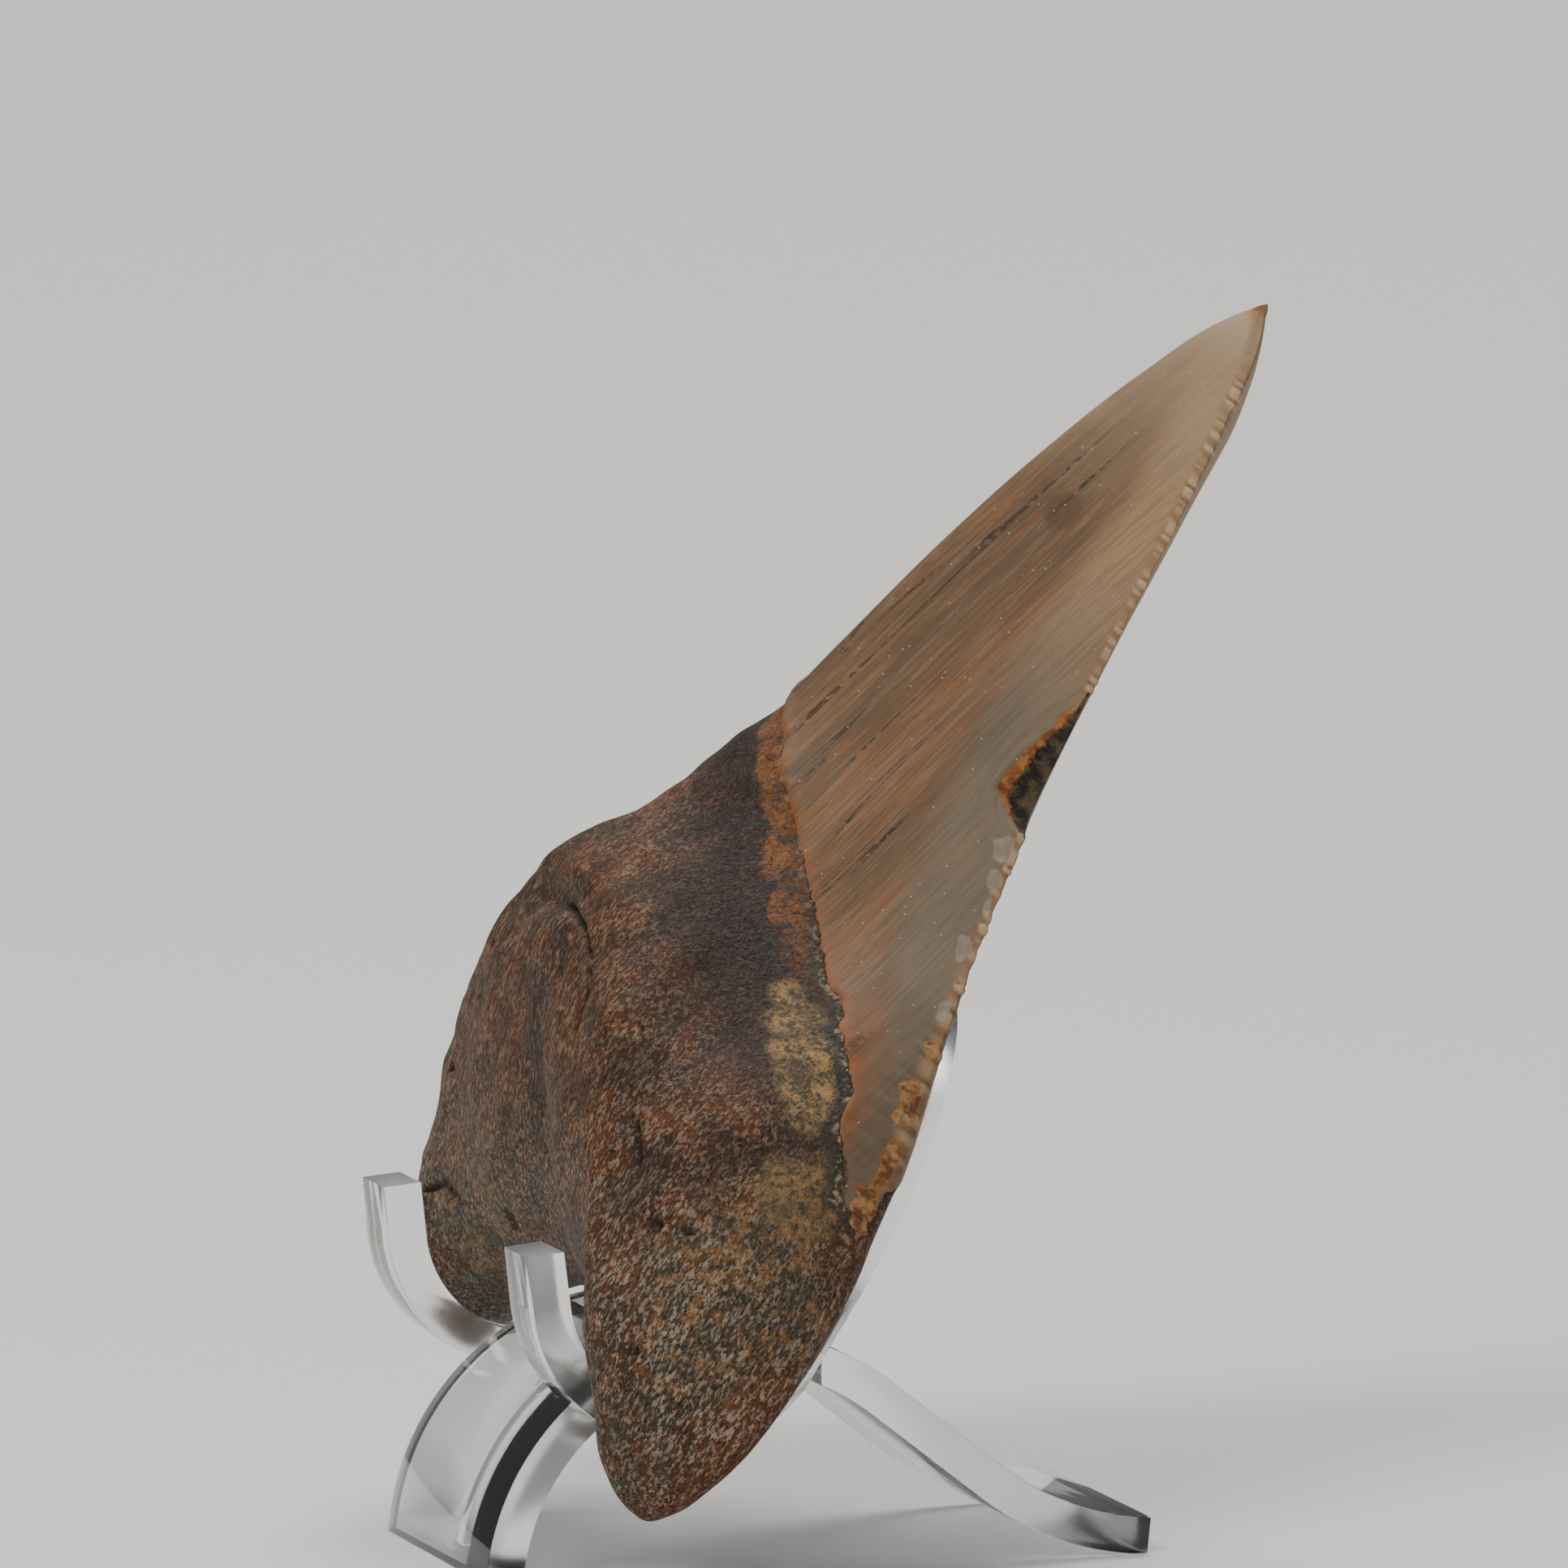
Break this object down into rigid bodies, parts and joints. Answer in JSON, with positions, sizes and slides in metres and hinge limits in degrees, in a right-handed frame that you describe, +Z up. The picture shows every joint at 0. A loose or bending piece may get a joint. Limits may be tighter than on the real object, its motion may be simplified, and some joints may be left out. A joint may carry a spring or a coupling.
{
  "type": "megalodon tooth on a clear stand",
  "caption": "Fossil megalodon tooth leaning back on a clear bent-sheet display stand with two front hooks.",
  "frame": {"origin": "on the table, under the middle of the whole object's box", "axes": "+Z up, the stand's hooks face -Y, the tooth leans back towards +Y, +X is across the tooth towards its lower root lobe"},
  "size_m": [0.0654, 0.0578, 0.0797],
  "materials": {
    "fossil": "mineralised tooth: satin honey-tan enamel crown, rough red-brown and olive root, dark orange-flecked band between",
    "clear_sheet": "clear colourless acrylic sheet, glossy, with softly rounded and slightly scuffed edges"
  },
  "bodies": {
    "root": {"tooth": "fossil", "cradle": "clear_sheet", "arch_foot": "clear_sheet"}
  },
  "joints": []
}
